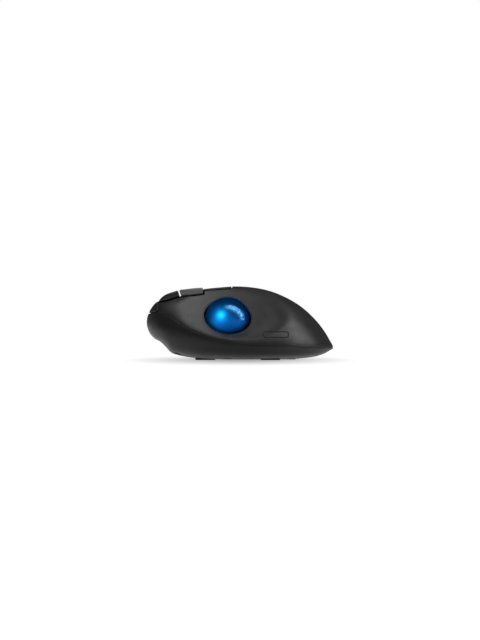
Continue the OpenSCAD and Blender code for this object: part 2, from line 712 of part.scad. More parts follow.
module power_slider() {
    color([0.6, 0.6, 0.6]) translate(power_at - [0, 1.5, 0]) {
        box([-1.55, -3, 1], [1.55, 3, 3.6]);
        box([-2.9, -4.6, 3.6], [2.9, 4.6, 4.8]);
    }
}
module pairing_switch() color("dimgray") translate(pair_at) box([-3, -3, 6], [3, 3, 8.4]);
module pairing_button() {
    color([0.2, 0.35, 0.7]) translate(pair_at) {
        translate([0, 0, 1.3]) cylinder(h = 4, r = 2.2, $fn = 32);
        translate([0, 0, 3.9]) cylinder(h = 0.8, r = 3.1, $fn = 32);
    }
}
module case_screws() {
    color("silver") for (p = case_screw_places) translate([p[0], p[1], p[2]]) {
        translate([0, 0, -0.1]) cylinder(h = 11, r = 1.3, $fn = 32);
        translate([0, 0, -1.6]) difference() {
            cylinder(h = 1.6, r = 2.6, $fn = 32);
            for (a = [0, 90]) rotate([0, 0, a]) translate([-1.5, -0.3, -0.1]) cube([3, 0.6, 1]);
        }
    }
}
module feet() color([0.05, 0.05, 0.05]) foot_shape(0, foot_top - 0.05);
module badge_plate() color([0.1, 0.1, 0.11])
    at_badge() translate([0, 0, -0.5]) cube([4.4, 18, 0.9], center = true);

base_shell();
top_shell();
center_strip();
left_button();
right_button();
left_hinge_rod();
right_hinge_rod();
forward_button();
back_button();
side_button_bracket();
side_switches();
dpi_button();
dpi_switch();
light_pipe();
wheel_hub();
wheel_tyre();
wheel_axle();
wheel_carrier();
carrier_pin();
carrier_bracket();
wheel_encoder();
wheel_switch();
click_switches();
ball_coat();
ball_core();
ball_socket();
socket_bearings();
sensor_lens();
sensor_chip();
sensor_board();
main_board();
control_chip();
button_board();
board_frame();
ribbon_cable();
frame_screws();
battery_cell();
battery_contact();
battery_spring();
battery_door();
usb_receiver();
switch_board();
power_switch();
power_slider();
pairing_switch();
pairing_button();
case_screws();
feet();
badge_plate();
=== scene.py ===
"""Looks of the trackball mouse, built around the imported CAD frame.

The shells, buttons and trims are cut from one smooth body surface along their outlines.
Each gets a rounded edge, a wall and an inner face, so that every piece is a closed shell.
Body lines are in millimetres, as in the CAD source, until a mesh is made in metres.
"""

import math

import bpy
import numpy as np
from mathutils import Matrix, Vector


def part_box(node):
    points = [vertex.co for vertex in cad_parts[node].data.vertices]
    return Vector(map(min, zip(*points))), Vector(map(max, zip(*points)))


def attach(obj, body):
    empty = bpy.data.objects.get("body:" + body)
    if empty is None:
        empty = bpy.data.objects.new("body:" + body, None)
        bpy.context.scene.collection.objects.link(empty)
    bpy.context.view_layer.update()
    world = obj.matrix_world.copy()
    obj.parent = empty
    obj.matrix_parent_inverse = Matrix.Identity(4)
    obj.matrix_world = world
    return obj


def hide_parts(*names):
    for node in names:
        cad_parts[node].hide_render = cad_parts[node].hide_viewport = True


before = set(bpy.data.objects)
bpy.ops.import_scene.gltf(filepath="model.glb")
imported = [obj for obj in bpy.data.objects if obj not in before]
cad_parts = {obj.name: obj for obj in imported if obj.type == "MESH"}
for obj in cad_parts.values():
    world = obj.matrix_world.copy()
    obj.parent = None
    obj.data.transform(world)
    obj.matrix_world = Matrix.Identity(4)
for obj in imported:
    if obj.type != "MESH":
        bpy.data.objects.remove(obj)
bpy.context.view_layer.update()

MM = 0.001

# ---- Driving sizes, in millimetres ----
BODY_LEN = 136.0
HALF_LEN = BODY_LEN / 2
SHELL_WALL = 2.0
PANEL_WALL = 1.3
PANEL_GAP = 0.5
PARTING_GAP = 0.3
PANEL_EDGE_R = 0.32
PARTING_EDGE_R = 0.3
BALL_TILT = math.radians(45)
BALL_YAW = math.radians(8)
RIM_HEIGHT = 2.6
RIM_R = 18.05
SEAM_Y = 6.0
STRIP_W = 10.0
NOSE_LIFT = 0.62
CORNER_R = 1.2
CREST_SOFT = 2.6

# ---- Places that come from the frame, in millimetres ----
def box_mm(node):
    low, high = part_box(node)
    return np.array(low) / MM, np.array(high) / MM


def centre(node):
    low, high = box_mm(node)
    return (low + high) / 2


def size(node):
    low, high = box_mm(node)
    return high - low


BALL_AT = centre("ball_coat")
BALL_R = size("ball_coat")[2] / 2
WHEEL_AT = centre("wheel_tyre")
WHEEL_ROLL = math.radians(18)
PIPE_AT = centre("light_pipe")
BADGE_AT = centre("badge_plate")
DPI_Y = centre("dpi_button")[1]
STRIP_X = PIPE_AT[0]

# ---- Lines of the body, as [place along Y, value] ----
LEFT_X = [[-68, -2], [-64, -17], [-54, -31], [-36, -41.5], [-12, -46], [8, -46.5],
          [30, -43.5], [46, -37.5], [58, -29], [65, -17], [68, -2]]
RIGHT_X = [[-68, 2], [-64, 18], [-54, 32], [-36, 42], [-12, 46], [8, 46.5],
           [30, 44.5], [46, 40.5], [58, 32], [65, 19], [68, 2]]
LEFT_Z = [[-68, 8.6], [-40, 9.6], [-10, 10.8], [10, 12.5], [30, 15], [46, 19], [58, 23.5], [68, 27.6]]
RIGHT_Z = [[-68, 8.6], [-40, 9.4], [0, 11], [30, 14], [46, 18], [58, 23], [68, 27.6]]
CREST_X = [[-68, 0], [-40, -2], [-10, -3], [10, -5], [30, -10], [46, -12], [60, -10], [68, 0]]
CREST_Z = [[-68, 8.6], [-66, 13.4], [-62, 20.2], [-55, 29.2], [-44, 39.2], [-33, 45.7], [-22, 50.1],
           [-11, 52.5], [2, 53.5], [14, 52.8], [26, 51.5], [35, 49.2], [44, 46.3], [52, 44.4],
           [58, 42.9], [61, 41.8], [64.5, 37.8], [66.8, 33.3], [68, 27.6]]
FLOOR_Z = [[-68, 8.3], [-66, 7.1], [-60, 3.9], [-52, 1.9], [-36, 0.6], [0, 0.25], [25, 0.6], [36, 1.7],
           [45, 3.4], [50, 5.2], [54, 9.3], [58, 13.1], [62, 15.3], [65, 18.3], [67, 22], [68, 27.2]]
LEFT_BEND = [[-68, 1.2], [-40, 1.3], [-15, 1.6], [9, 1.65], [30, 1.55], [50, 1.35], [68, 1.1]]
RIGHT_BEND = 1.15
FLOOR_BEND = 0.55
PART_LEFT = [[-70, 8.9], [-50, 9], [-30, 10.4], [-6, 11], [10, 13.3], [23, 17.4], [35, 23],
             [45, 28.6], [52, 33.4], [56, 35.4], [60, 35.8], [66, 34.1], [70, 33.5]]
PART_RIGHT = [[-70, 8.9], [-30, 9.5], [0, 10.5], [20, 14], [40, 22], [52, 29], [60, 33], [70, 33.5]]
PART_REACH = 60.0
STRIP_LOW = [[5, 51.7], [16, 51], [28, 50]]
POD_LOW = [[25, 47.6], [34, 46.5], [42, 45.8], [46, 44.9], [52, 42.9], [60, 41.6]]
POD_HIGH = [[25, 52.6], [32.5, 52.2], [38.4, 51.5], [43, 50.9], [47, 49.8], [51.5, 48.4],
            [56, 46.2], [60, 42]]
POD_RIGHT = [[25, -8.3], [36, -7.7], [46, -8.1], [55, -9.7], [60, -11.9]]
POD_START = 26.0
POD_END = 59.5
POD_SPLIT = 43.95
POD_GAP = 0.9
POD_LEAN = 0.33
LEAN_REACH = 12.0
PANEL_SHARE = 0.86
STRIP_GAP = 1.3
BASE_WALL = 2.6
LIP_WALL = 0.8
LIP_EDGE_R = 0.2
NOSE_LIP_DEPTH = 2.2
NOSE_LIP_LOW, NOSE_LIP_HIGH = -3.0, 1.5
NOSE_LIP_START = 50.0
SEAM_LIP_DEPTH = 1.0
SEAM_LIP_LEN = 3.0
SEAM_LIP_CLEAR = 0.1
SEAM_LIP_OVER = 0.5
DOOR_TRAVEL = 3.5


# ---- Curves and blends ----
def smooth(low, high, value):
    t = np.clip((value - low) / (high - low), 0, 1)
    return t * t * (3 - 2 * t)


def curve(knots, at):
    """The smooth curve through the knots, at each place in at."""
    k = np.asarray(knots, float)
    place, value = k[:, 0], k[:, 1]
    slope = np.empty(len(k))
    slope[1:-1] = (value[2:] - value[:-2]) / (place[2:] - place[:-2])
    slope[0] = (value[1] - value[0]) / (place[1] - place[0])
    slope[-1] = (value[-1] - value[-2]) / (place[-1] - place[-2])
    at = np.clip(at, place[0], place[-1])
    i = np.clip(np.searchsorted(place, at, "right") - 1, 0, len(k) - 2)
    h = place[i + 1] - place[i]
    t = (at - place[i]) / h
    return ((2 * t**3 - 3 * t**2 + 1) * value[i] + (t**3 - 2 * t**2 + t) * h * slope[i]
            + (3 * t**2 - 2 * t**3) * value[i + 1] + (t**3 - t**2) * h * slope[i + 1])


def angle_at(y):
    """The station angle of a place along Y, whose sine is y over half the length."""
    return np.degrees(np.arcsin(np.clip(y / HALF_LEN, -1, 1)))


def by_angle(knots):
    k = np.array(knots, float)
    k[:, 0] = angle_at(k[:, 0])
    return k


LX, RX, LZ, RZ = by_angle(LEFT_X), by_angle(RIGHT_X), by_angle(LEFT_Z), by_angle(RIGHT_Z)
CX, CZ, FZ, LB = by_angle(CREST_X), by_angle(CREST_Z), by_angle(FLOOR_Z), by_angle(LEFT_BEND)


# ---- The body surface as a grid of points with normals ----
STATIONS = 260
RING_POINTS = 400
QUARTER_POINTS = 160
END_ANGLE = 89.6

BALL_AXIS = np.array([-math.cos(BALL_TILT) * math.cos(BALL_YAW),
                      -math.cos(BALL_TILT) * math.sin(BALL_YAW), math.sin(BALL_TILT)])
RIM_ALONG = np.array([-math.sin(BALL_YAW), math.cos(BALL_YAW), 0])
RIM_UP = np.cross(RIM_ALONG, BALL_AXIS)
FLAT_R = 19.0
DISH_ALONG, DISH_UP, DISH_DOWN = 48.0, 32.0, 27.0


def flat_rim(p):
    """Flattens the flank to a rim plane round the ball, and blends back into the flank further out."""
    away = p - BALL_AT
    height = away @ BALL_AXIS
    ahead, up = away @ RIM_ALONG, away @ RIM_UP
    radius = np.maximum(np.hypot(ahead, up), 0.01)
    across = np.where(up > 0, DISH_UP, DISH_DOWN)
    reach = radius / np.hypot(ahead / DISH_ALONG, up / across)
    share = (1 - smooth(0, 1, (radius - FLAT_R) / (reach - FLAT_R))) * smooth(-6, 2, height)
    return p + (share * (RIM_HEIGHT - height))[..., None] * BALL_AXIS


def raw_rings(stations):
    """Each section of the body as a closed outline of four bent quarters, X and Z."""
    t = np.radians(90 * smooth(0, 1, np.linspace(0, 1, QUARTER_POINTS)))
    cos, sin = np.clip(np.cos(t), 0, 1), np.sin(t)

    def quarter(side_x, side_z, top_x, top_z, bend, backwards):
        bend = np.broadcast_to(bend, stations.shape)[:, None]
        x = top_x[:, None] + (side_x - top_x)[:, None] * cos**bend
        z = side_z[:, None] + (top_z - side_z)[:, None] * sin**bend
        both_ = np.stack([x, z], axis=-1)
        return both_[:, ::-1][:, :-1] if backwards else both_[:, :-1]

    left_x, left_z = curve(LX, stations), curve(LZ, stations)
    right_x, right_z = curve(RX, stations), curve(RZ, stations)
    top_x, top_z = curve(CX, stations), curve(CZ, stations)
    low_x, low_z = (left_x + right_x) / 2, curve(FZ, stations)
    return np.concatenate([
        quarter(left_x, left_z, top_x, top_z, curve(LB, stations), False),
        quarter(right_x, right_z, top_x, top_z, RIGHT_BEND, True),
        quarter(right_x, right_z, low_x, low_z, FLOOR_BEND, False),
        quarter(left_x, left_z, low_x, low_z, FLOOR_BEND, True)], axis=1)


def even_rings(rings, count):
    """The same closed outlines with evenly spaced points, and each outline's length."""
    closed = np.concatenate([rings, rings[:, :1]], axis=1)
    step = np.linalg.norm(np.diff(closed, axis=1), axis=-1)
    run = np.concatenate([np.zeros((len(rings), 1)), np.cumsum(step, axis=1)], axis=1)
    even = np.empty((len(rings), count, 2))
    for i, ring in enumerate(closed):
        at = np.linspace(0, run[i, -1], count, endpoint=False)
        for axis in range(2):
            even[i, :, axis] = np.interp(at, run[i], ring[:, axis])
    return even, run[:, -1]


def soft_rings(rings, length):
    """The outlines with their tight bends softened over CREST_SOFT, and the crest kept at its height."""
    reach = np.minimum(CREST_SOFT, 0.02 * length)[:, None]
    waves = np.fft.fftfreq(rings.shape[1], 1 / rings.shape[1]) / length[:, None]
    keep = np.exp(-2 * (np.pi * waves * reach) ** 2)[..., None]
    soft = np.fft.ifft(np.fft.fft(rings, axis=1) * keep, axis=1).real
    top, low = rings[:, :, 1].max(1), rings[:, :, 1].min(1)
    lost = top - soft[:, :, 1].max(1)
    share = smooth(0.5, 1, (soft[:, :, 1] - low[:, None]) / (top - low)[:, None])
    soft[:, :, 1] += lost[:, None] * share
    return soft


def body_surface():
    """Points, outward normals and triangles of the whole body."""
    stations = np.linspace(-END_ANGLE, END_ANGLE, STATIONS)
    rings, length = even_rings(raw_rings(stations), RING_POINTS)
    rings = soft_rings(rings, length)
    y = np.broadcast_to(HALF_LEN * np.sin(np.radians(stations))[:, None], rings.shape[:2])
    grid = flat_rim(np.stack([rings[:, :, 0], y, rings[:, :, 1]], axis=-1))
    onward = np.gradient(grid, axis=0)
    around = np.roll(grid, -1, axis=1) - np.roll(grid, 1, axis=1)
    normals = np.cross(around, onward)
    normals /= np.linalg.norm(normals, axis=-1, keepdims=True)
    index = np.arange(STATIONS * RING_POINTS).reshape(STATIONS, RING_POINTS)
    a, b = index[:-1], index[1:]
    a2, b2 = np.roll(a, -1, axis=1), np.roll(b, -1, axis=1)
    triangles = np.concatenate([np.stack([a, a2, b2], -1).reshape(-1, 3),
                                np.stack([a, b2, b], -1).reshape(-1, 3)])
    points = np.concatenate([grid.reshape(-1, 3), grid[0].mean(0)[None], grid[-1].mean(0)[None]])
    normals = np.concatenate([normals.reshape(-1, 3), [[0, -1, 0]], [[0, 1, 0]]])
    tail, nose = len(points) - 2, len(points) - 1
    first, last = index[0], index[-1]
    caps = [np.stack([np.full_like(first, tail), np.roll(first, -1), first], -1),
            np.stack([np.full_like(last, nose), last, np.roll(last, -1)], -1)]
    return points, normals, np.concatenate([triangles] + caps)


# ---- Outlines on the surface. A field is positive inside and measures millimetres along the surface ----
STEP = 0.05


def slope_of(field, p):
    """The gradient of a field of points, by small steps."""
    moves = STEP * np.eye(3)
    return np.stack([(field(p + m) - field(p - m)) / (2 * STEP) for m in moves], axis=-1)


def along(value):
    """Turns a plain function of points into a distance along the surface to where it is zero."""
    def field(p, n):
        g = slope_of(value, p)
        g -= (g * n).sum(1, keepdims=True) * n
        return value(p) / np.maximum(np.linalg.norm(g, axis=1), 0.15)
    return field


def both(*fields, corner=CORNER_R):
    """Inside all the fields, with its corners rounded."""
    def field(p, n):
        values = np.stack([f(p, n) for f in fields])
        lack = np.maximum(corner - values, 0)
        return np.maximum(values.min(0), corner) - np.linalg.norm(lack, axis=0)
    return field


def inverse(f):
    return lambda p, n: -f(p, n)


def either(*fields, corner=CORNER_R):
    """Inside any of the fields, with its inner corners rounded."""
    return inverse(both(*[inverse(f) for f in fields], corner=corner))


def shrunk(f, by):
    return lambda p, n: f(p, n) - by


def flank_x(y, z):
    """X of the left flank at height z."""
    a = angle_at(y)
    low = curve(LZ, a)
    rise = np.clip((z - low) / (curve(CZ, a) - low), 0, 1) ** (1 / curve(LB, a))
    reach = np.sqrt(np.maximum(1 - rise**2, 0)) ** curve(LB, a)
    return curve(CX, a) + (curve(LX, a) - curve(CX, a)) * reach


def pod_left(y):
    return flank_x(y, curve(POD_LOW, y))


def slope_z(x, y):
    """Height of the slope right of the crest."""
    a = angle_at(y)
    run = ((x - curve(CX, a)) / (curve(RX, a) - curve(CX, a))) ** (1 / RIGHT_BEND)
    return curve(RZ, a) + (curve(CZ, a) - curve(RZ, a)) * math.sqrt(1 - run**2) ** RIGHT_BEND


def over_line(knots):
    """Positive over a line along the left flank, and everywhere right of the crest."""
    def value(p):
        right = p[:, 0] - curve(CX, angle_at(p[:, 1]))
        return np.maximum(p[:, 2] - curve(knots, p[:, 1]), right)
    return value


def part_height(p):
    share = (p[:, 0] + PART_REACH) / (2 * PART_REACH)
    return curve(PART_LEFT, p[:, 1]) * (1 - share) + curve(PART_RIGHT, p[:, 1]) * share


above_part = along(lambda p: p[:, 2] - part_height(p))
above_nose = along(lambda p: p[:, 2] - part_height(p) - NOSE_LIFT)
ahead_of_seam = along(lambda p: p[:, 1] - SEAM_Y)
ahead_of_pods = along(lambda p: p[:, 1] - POD_END)
ahead_of_pod_start = along(lambda p: p[:, 1] - POD_START)
over_strip_low = along(over_line(STRIP_LOW))
over_pod_low = along(over_line(POD_LOW))
left_of_pod_right = along(lambda p: curve(POD_RIGHT, p[:, 1]) - p[:, 0])
left_of_right_edge = along(lambda p: PANEL_SHARE * curve(RX, angle_at(p[:, 1])) - p[:, 0])
right_of_strip_left = along(lambda p: p[:, 0] - (STRIP_X - STRIP_W / 2))
left_of_strip_right = along(lambda p: STRIP_X + STRIP_W / 2 - p[:, 0])

pods = both(over_pod_low, left_of_pod_right, ahead_of_pod_start, inverse(ahead_of_pods), corner=0.5)
opening = either(
    both(either(over_strip_low, both(over_pod_low, ahead_of_pod_start, corner=0.5), corner=0.5),
         left_of_right_edge, ahead_of_seam),
    ahead_of_pods, corner=0.5)
clear_of_strip_low = either(shrunk(over_strip_low, STRIP_GAP), ahead_of_pod_start, corner=0.5)


def stadium(x, y, length, width):
    """Distance outside a slot with round ends, length along y."""
    return np.hypot(x, np.maximum(np.abs(y) - (length - width) / 2, 0)) - width / 2


def rolled(p, at):
    """Places in a frame that follows the slope of the buttons: across it and along it."""
    across = (p[:, 0] - at[0]) * math.cos(WHEEL_ROLL) - (p[:, 2] - at[2]) * math.sin(WHEEL_ROLL)
    return across, p[:, 1] - at[1]


WHEEL_SLOT = (25.0, 9.0)
DPI_SLOT = (9.3, 5.3)
PIPE_HOLE_R = 1.0
DPI_AT = np.array([STRIP_X, DPI_Y, slope_z(STRIP_X, DPI_Y)])
outside_wheel = along(lambda p: stadium(*rolled(p, WHEEL_AT), *WHEEL_SLOT))
outside_dpi = along(lambda p: stadium(*rolled(p, DPI_AT), *DPI_SLOT))
outside_pipe = along(lambda p: np.hypot(p[:, 0] - PIPE_AT[0], p[:, 1] - PIPE_AT[1]) - PIPE_HOLE_R)


def outside_ball(p, n):
    away = p - BALL_AT
    height = away @ BALL_AXIS
    radius = np.linalg.norm(away - height[:, None] * BALL_AXIS, axis=1)
    return np.where(height > -5, radius - RIM_R, HALF_LEN)


BADGE_L, BADGE_H, BADGE_R = 18.3, 4.7, 1.5
BADGE_GROOVE = 0.35


def badge_shape(p):
    """Positive inside the badge's rounded outline on the left flank."""
    up = p[:, 2] - BADGE_AT[2]
    run = p[:, 1] - BADGE_AT[1]
    over = np.stack([np.abs(run) - (BADGE_L / 2 - BADGE_R), np.abs(up) * 1.1 - (BADGE_H / 2 - BADGE_R)])
    out = np.linalg.norm(np.maximum(over, 0), axis=0) + np.minimum(over.max(0), 0) - BADGE_R
    return np.where(p[:, 0] < 0, -out, -HALF_LEN)


inside_badge = along(badge_shape)


# ---- Holes in the underside ----
def underside(value):
    """A field from a distance in plan, for the underside only."""
    return lambda p, n: np.where((n[:, 2] < -0.3) & (p[:, 2] < 12), value(p), HALF_LEN)


def outside_box(low, high, corner):
    """Distance outside a rounded rectangle in plan, all in millimetres."""
    mid, half = (low + high) / 2, (high - low) / 2

    def value(p):
        over = np.abs(p[:, :2] - mid) - (half - corner)
        return np.linalg.norm(np.maximum(over, 0), axis=1) + np.minimum(over.max(1), 0) - corner
    return underside(value)


def outside_circle(x, y, r):
    return underside(lambda p: np.hypot(p[:, 0] - x, p[:, 1] - y) - r)


def node_parts(node):
    """The separate solids of a CAD node, each as an array of its points in millimetres."""
    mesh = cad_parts[node].data
    group = list(range(len(mesh.vertices)))

    def root(i):
        while group[i] != i:
            group[i] = group[group[i]]
            i = group[i]
        return i
    places = {}
    for v in mesh.vertices:
        key = tuple(round(c / MM, 3) for c in v.co)
        group[v.index] = root(places.setdefault(key, v.index))
    for e in mesh.edges:
        group[root(e.vertices[0])] = root(e.vertices[1])
    parts = {}
    for v in mesh.vertices:
        parts.setdefault(root(v.index), []).append(tuple(v.co))
    return [np.array(parts[k]) / MM for k in sorted(parts)]


def slot_round(node, play, corner):
    """Holes round each solid of a node, play wider on every side."""
    return [outside_box(p.min(0)[:2] - play, p.max(0)[:2] + play, corner) for p in node_parts(node)]


# ---- Meshes ----
FILLET_STEPS = 5


def clip(surface, field):
    """The part of a surface where field is positive: points, normals, triangles and border edges."""
    points, normals, triangles = surface
    value = field(points, normals)
    inside = value > 0
    count = inside[triangles].sum(1)
    crossed = (count == 1) | (count == 2)
    cut, one_in = triangles[crossed], count[crossed] == 1
    odd = np.argmax(inside[cut] == one_in[:, None], axis=1)
    cut = cut[np.arange(len(cut))[:, None], (odd[:, None] + np.arange(3)) % 3]
    pairs = np.sort(np.concatenate([cut[:, [0, 1]], cut[:, [0, 2]]]), axis=1)
    pairs, place = np.unique(pairs, axis=0, return_inverse=True)
    place = place.reshape(-1)
    start = np.where(inside[pairs[:, 0]], pairs[:, 0], pairs[:, 1])
    end = np.where(inside[pairs[:, 0]], pairs[:, 1], pairs[:, 0])
    near, far = np.zeros(len(pairs)), np.ones(len(pairs))

    def between(share):
        p = points[start] + share[:, None] * (points[end] - points[start])
        n = normals[start] + share[:, None] * (normals[end] - normals[start])
        return p, n / np.linalg.norm(n, axis=1, keepdims=True)
    for _ in range(14):
        middle = (near + far) / 2
        keep = field(*between(middle)) > 0
        near, far = np.where(keep, middle, near), np.where(keep, far, middle)
    new_points, new_normals = between(near)
    ab = len(points) + place[: len(cut)]
    ac = len(points) + place[len(cut):]
    a, b, c = cut.T
    two_in = ~one_in
    made = np.concatenate([
        triangles[count == 3],
        np.stack([a, ab, ac], 1)[one_in],
        np.stack([ab, b, c], 1)[two_in],
        np.stack([ab, c, ac], 1)[two_in]])
    border = np.concatenate([np.stack([ab, ac], 1)[one_in], np.stack([ac, ab], 1)[two_in]])
    used, index = np.unique(made, return_inverse=True)
    number = np.full(len(points) + len(pairs), -1)
    number[used] = np.arange(len(used))
    return (np.concatenate([points, new_points])[used], np.concatenate([normals, new_normals])[used],
            index.reshape(-1, 3), number[border])


def make_mesh(name, points, faces, normals=None, edge=None):
    """A mesh object in metres from points in millimetres."""
    mesh = bpy.data.meshes.new(name)
    mesh.from_pydata((points * MM).tolist(), [], [list(map(int, f)) for f in faces])
    mesh.polygons.foreach_set("use_smooth", [True] * len(mesh.polygons))
    if normals is not None:
        mesh.normals_split_custom_set_from_vertices(normals.tolist())
    if edge is not None:
        mesh.attributes.new("edge", "FLOAT", "POINT").data.foreach_set("value", edge.astype(np.float32))
    mesh.validate()
    mesh.update()
    obj = bpy.data.objects.new(name, mesh)
    bpy.context.scene.collection.objects.link(obj)
    return obj


def shell_piece(name, surface, field, edge_r, wall, sink=0.0):
    """A closed shell cut from the surface, with a rounded edge, wall thick, its face sunk a little."""
    points, normals, triangles, border = clip(surface, shrunk(field, edge_r))
    rim, edges = np.unique(border, return_inverse=True)
    edges = edges.reshape(-1, 2)
    start, end = edges.T
    p, n = points[rim], normals[rim]
    outward = -slope_of(lambda q: field(q, n), p)
    outward -= (outward * n).sum(1, keepdims=True) * n
    outward /= np.linalg.norm(outward, axis=1, keepdims=True)
    layers, layer_normals = [points - sink * normals], [normals]
    for k in range(1, FILLET_STEPS + 1):
        turn = math.radians(90) * k / FILLET_STEPS
        side, drop = edge_r * math.sin(turn), edge_r * (1 - math.cos(turn))
        layers.append(p + side * outward - (drop + sink) * n)
        layer_normals.append(math.cos(turn) * n + math.sin(turn) * outward)
    layers.append(p + edge_r * outward - wall * n)
    layer_normals.append(outward)
    layers.append(points - wall * normals)
    layer_normals.append(-normals)
    first = np.cumsum([0] + [len(x) for x in layers])
    ring_ids = [rim] + [f + np.arange(len(rim)) for f in first[1:-2]] + [first[-2] + rim]
    faces = [list(t) for t in triangles] + [list(t[::-1]) for t in triangles + first[-2]]
    for upper, lower in zip(ring_ids[:-1], ring_ids[1:]):
        faces += np.stack([upper[end], upper[start], lower[start], lower[end]], 1).tolist()
    edge = [np.exp(-np.maximum(field(points, normals) - edge_r, 0) / 0.5)]
    edge += [np.ones(len(rim))] * (len(layers) - 2) + [np.zeros(len(points))]
    return make_mesh(name, np.concatenate(layers), faces, np.concatenate(layer_normals), np.concatenate(edge))


def side_button(name, y0, y1):
    """A side button lofted between the pod's low and high lines, with rounded ends."""
    end_r, ends, middle, around = 0.9, 8, 40, 96
    closer = end_r * (1 - np.cos(np.linspace(0, math.pi / 2, ends)))[:-1]
    y = np.concatenate([y0 + closer, np.linspace(y0 + end_r, y1 - end_r, middle), (y1 - closer)[::-1]])
    lip = np.minimum(np.minimum(y - y0, y1 - y), end_r)
    pull = end_r - np.sqrt(np.maximum(end_r**2 - (end_r - lip) ** 2, 0))
    left = pod_left(y) + PANEL_GAP / 2 + 0.1
    right = np.maximum(curve(POD_RIGHT, y) - PANEL_GAP / 2 - 0.1, left + 0.6)
    low, high = curve(POD_LOW, y) + 0.5, curve(POD_HIGH, y)
    half_w = np.maximum((right - left) / 2 - pull, 0.1)
    half_h = np.maximum((high - low) / 2 - pull, 0.1)
    turn = -2 * math.pi * (np.arange(around) + 0.5) / around
    c, s = np.cos(turn), np.sin(turn)
    across, up = np.sign(c) * np.abs(c) ** 0.5, np.sign(s) * np.abs(s) ** 0.5
    lean = POD_LEAN * np.maximum(0, 1 - np.abs(y - POD_SPLIT) / LEAN_REACH)
    rise = half_h[:, None] * up
    rings = np.stack([(left + right)[:, None] / 2 + half_w[:, None] * across,
                      y[:, None] + lean[:, None] * rise,
                      (low + high)[:, None] / 2 + rise], axis=-1)
    index = np.arange(rings.shape[0] * around).reshape(-1, around)
    a, b = index[:-1], index[1:]
    a2, b2 = np.roll(a, -1, axis=1), np.roll(b, -1, axis=1)
    faces = np.stack([a, a2, b2, b], -1).reshape(-1, 4).tolist()
    faces += [index[0][::-1].tolist(), index[-1].tolist()]
    return make_mesh(name, rings.reshape(-1, 3), faces)


def inset(surface, depth):
    """The same surface, depth further in."""
    points, normals, triangles = surface
    return points - depth * normals, normals, triangles


def add_lip(piece, depth, *fields):
    """Joins a thin lip to a piece, depth under the surface, that shuts off a gap from behind."""
    lip = shell_piece("lip", inset(body, depth), both(*fields, corner=0.3), LIP_EDGE_R, LIP_WALL)
    with bpy.context.temp_override(active_object=piece, selected_editable_objects=[piece, lip]):
        bpy.ops.object.join()


SCREW_HOLE_R = 2.9
EJECT_HOLE_R = 3.5
FOOT_PLAY, FOOT_CORNER = 0.12, 3.1
RECEIVER_PLAY, RECEIVER_CORNER = 0.25, 0.6
# The pairing button and the slider have flanges inside, wider than what shows of them
PAIRING_PLAY, PAIRING_CORNER = -0.7, 2.4
SLIDER_INSET_LOW, SLIDER_INSET_HIGH, SLIDER_CORNER = (1.1, 1.2), (-1.1, 1.8), 0.5
DOOR_PLAY, DOOR_CORNER = 0.2, 0.8


def holes_below():
    """The holes in the underside, each a field that is positive outside the hole."""
    holes = [outside_circle(p[:, 0].mean(), p[:, 1].mean(), SCREW_HOLE_R) for p in node_parts("case_screws")]
    holes += slot_round("feet", FOOT_PLAY, FOOT_CORNER)
    holes += slot_round("usb_receiver", RECEIVER_PLAY, RECEIVER_CORNER)
    holes += slot_round("pairing_button", PAIRING_PLAY, PAIRING_CORNER)
    # The door's opening runs on behind it by as far as the door slides
    low, high = box_mm("battery_door")
    behind = [DOOR_PLAY, DOOR_PLAY + DOOR_TRAVEL]
    holes.append(outside_box(low[:2] - behind, high[:2] + DOOR_PLAY, DOOR_CORNER))
    low, high = box_mm("power_slider")
    holes.append(outside_box(low[:2] + SLIDER_INSET_LOW, high[:2] + SLIDER_INSET_HIGH, SLIDER_CORNER))
    holes.append(outside_circle(BALL_AT[0], BALL_AT[1], EJECT_HOLE_R))
    return holes


# ---- Build the pieces ----
SHARP = 0.01
body = body_surface()
half_gap, half_part = PANEL_GAP / 2, PARTING_GAP / 2

base = shell_piece("base_case", body, both(
    shrunk(inverse(above_part), half_part), *holes_below(), corner=SHARP), PARTING_EDGE_R, BASE_WALL)
add_lip(base, NOSE_LIP_DEPTH,
        along(lambda p: p[:, 2] - part_height(p) - NOSE_LIP_LOW),
        along(lambda p: part_height(p) + NOSE_LIP_HIGH - p[:, 2]),
        along(lambda p: p[:, 1] - NOSE_LIP_START))
top = shell_piece("palm_case", body, both(
    shrunk(above_part, half_part), shrunk(inverse(opening), half_gap), outside_ball,
    inverse(inside_badge), corner=SHARP), PARTING_EDGE_R, SHELL_WALL)
add_lip(top, SEAM_LIP_DEPTH,
        shrunk(over_strip_low, -SEAM_LIP_OVER), left_of_right_edge,
        shrunk(inverse(ahead_of_seam), SEAM_LIP_CLEAR - half_gap),
        shrunk(ahead_of_seam, -SEAM_LIP_LEN))
left = shell_piece("left_click_panel", body, both(
    shrunk(opening, half_gap), shrunk(inverse(pods), half_gap),
    shrunk(inverse(right_of_strip_left), half_gap),
    clear_of_strip_low, above_nose), PANEL_EDGE_R, PANEL_WALL)
right = shell_piece("right_click_panel", body, both(
    shrunk(opening, half_gap), shrunk(inverse(left_of_strip_right), half_gap), above_nose),
    PANEL_EDGE_R, PANEL_WALL)
strip = shell_piece("centre_trim", body, both(
    shrunk(opening, half_gap), shrunk(right_of_strip_left, half_gap), shrunk(left_of_strip_right, half_gap),
    above_nose, outside_wheel, outside_dpi, outside_pipe, corner=0.3), PANEL_EDGE_R * 0.7, PANEL_WALL)
badge = shell_piece("blank_badge", body, shrunk(inside_badge, BADGE_GROOVE), 0.25, 1.2, sink=0.05)
forward = side_button("forward_key", POD_SPLIT + POD_GAP / 2, POD_END - 0.3)
back = side_button("back_key", POD_START + 0.9, POD_SPLIT - POD_GAP / 2)

